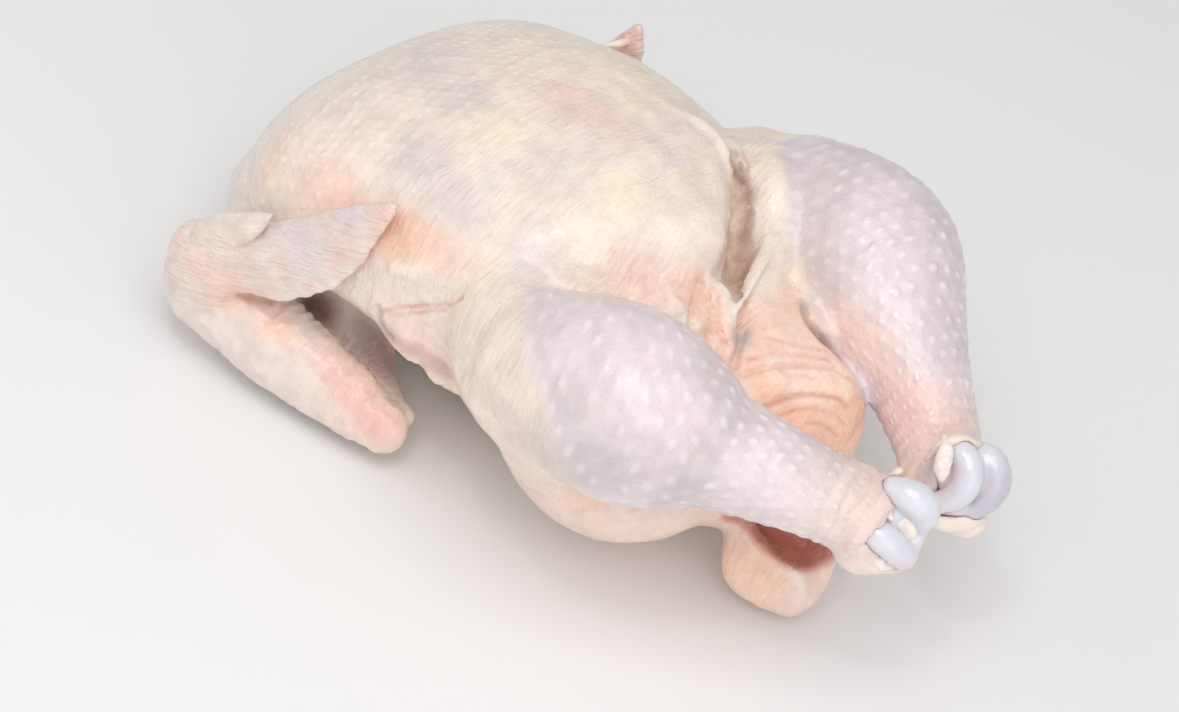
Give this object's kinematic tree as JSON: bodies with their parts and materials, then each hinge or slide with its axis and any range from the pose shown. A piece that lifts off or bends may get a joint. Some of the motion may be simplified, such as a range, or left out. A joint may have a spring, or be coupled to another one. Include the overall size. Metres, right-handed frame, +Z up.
{
  "type": "whole raw chicken",
  "caption": "Whole raw chicken lying on its back, breast up, with folded wings and bare joint ends at the drumsticks.",
  "frame": {"origin": "on the table under the middle of the bounding box", "axes": "+X from the neck end to the tail and feet, +Y towards the bird's left side, +Z up through the breast"},
  "size_m": [0.2436, 0.1642, 0.1076],
  "materials": {
    "skin": "moist raw poultry skin, cream over pale pink, lavender over the drumsticks",
    "cartilage": "wet bluish-white cartilage"
  },
  "bodies": {
    "root": {"bird": "skin", "hock_right": "cartilage", "hock_left": "cartilage"}
  },
  "joints": []
}
